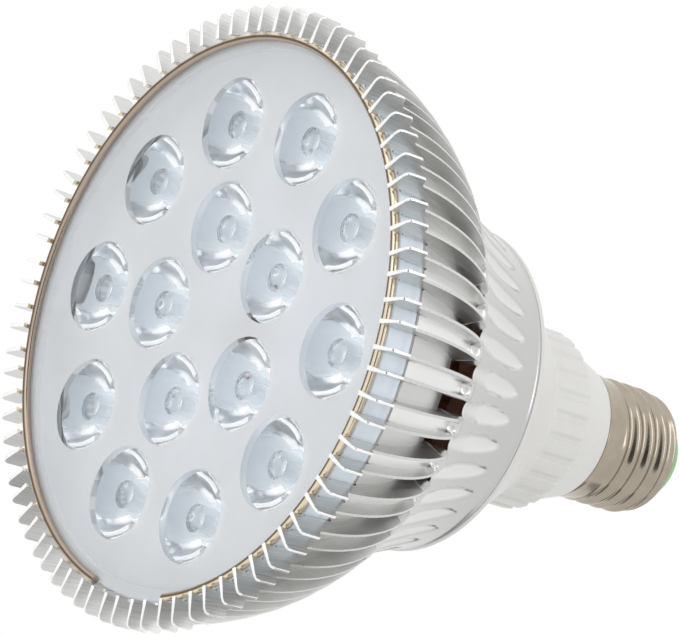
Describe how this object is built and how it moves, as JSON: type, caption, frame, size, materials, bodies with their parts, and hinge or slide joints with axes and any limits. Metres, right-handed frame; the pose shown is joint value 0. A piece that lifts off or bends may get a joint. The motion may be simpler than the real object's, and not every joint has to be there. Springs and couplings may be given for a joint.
{
  "type": "led reflector bulb",
  "caption": "Reflector flood lamp with a finned aluminium body, a clear plate of round optics behind a snap ring, a white ribbed collar and a screw cap.",
  "frame": {"origin": "centre of the lamp's face, on the plane of the fins' front edges", "axes": "+Z along the lamp's axis from its face towards the screw cap; +X passes 1.44 degrees clockwise of the middle of a wide slot between fins, seen from the cap"},
  "size_m": [0.1232, 0.1232, 0.1242],
  "materials": {
    "cast_aluminium": "satin cast aluminium, polished fin edges",
    "spring_bronze": "tan spring bronze, semi-gloss",
    "clear_acrylic": "clear, frosted between the windows",
    "seal_rubber": "matt grey",
    "white_solder_mask": "white solder mask on an aluminium core",
    "led_ceramic": "cream ceramic base with a clear dome",
    "plated_steel": "zinc plated",
    "white_plastic": "satin white",
    "nickel_plate": "bright nickel plate with a warm tone",
    "green_insulator": "glossy green glaze",
    "tin_contact": "tinned brass",
    "brown_fibre": "dark brown insulating board",
    "phenolic_board": "brown phenolic board",
    "ferrite": "matt dark grey ferrite",
    "yellow_tape": "copper winding under yellow tape",
    "capacitor_sleeve": "black sleeve",
    "film_yellow": "yellow resin box",
    "black_resin": "black moulding resin",
    "copper_wire": "enamelled copper",
    "resistor_beige": "beige lacquer",
    "wire_red": "red insulation",
    "wire_black": "black insulation"
  },
  "bodies": {
    "root": {"heat_sink": "cast_aluminium", "snap_ring": "spring_bronze", "lens_plate": "clear_acrylic", "plate_seal": "seal_rubber", "led_board": "white_solder_mask", "led_01": "led_ceramic", "led_02": "led_ceramic", "led_03": "led_ceramic", "led_04": "led_ceramic", "led_05": "led_ceramic", "led_06": "led_ceramic", "led_07": "led_ceramic", "led_08": "led_ceramic", "led_09": "led_ceramic", "led_10": "led_ceramic", "led_11": "led_ceramic", "led_12": "led_ceramic", "led_13": "led_ceramic", "led_14": "led_ceramic", "led_15": "led_ceramic", "board_screw_1": "plated_steel", "board_screw_2": "plated_steel", "board_screw_3": "plated_steel", "collar": "white_plastic", "cap_shell": "nickel_plate", "cap_insulator": "green_insulator", "centre_contact": "tin_contact", "driver_sleeve": "brown_fibre", "driver_board": "phenolic_board", "transformer_core": "ferrite", "transformer_winding": "yellow_tape", "output_capacitor": "capacitor_sleeve", "input_capacitor": "capacitor_sleeve", "output_choke": "copper_wire", "film_capacitor": "film_yellow", "rectifier": "black_resin", "fuse_resistor": "resistor_beige", "controller_chip": "black_resin", "power_switch": "black_resin", "led_wire_positive": "wire_red", "led_wire_negative": "wire_black", "cap_wire_live": "wire_red", "cap_wire_neutral": "wire_black"}
  },
  "joints": []
}
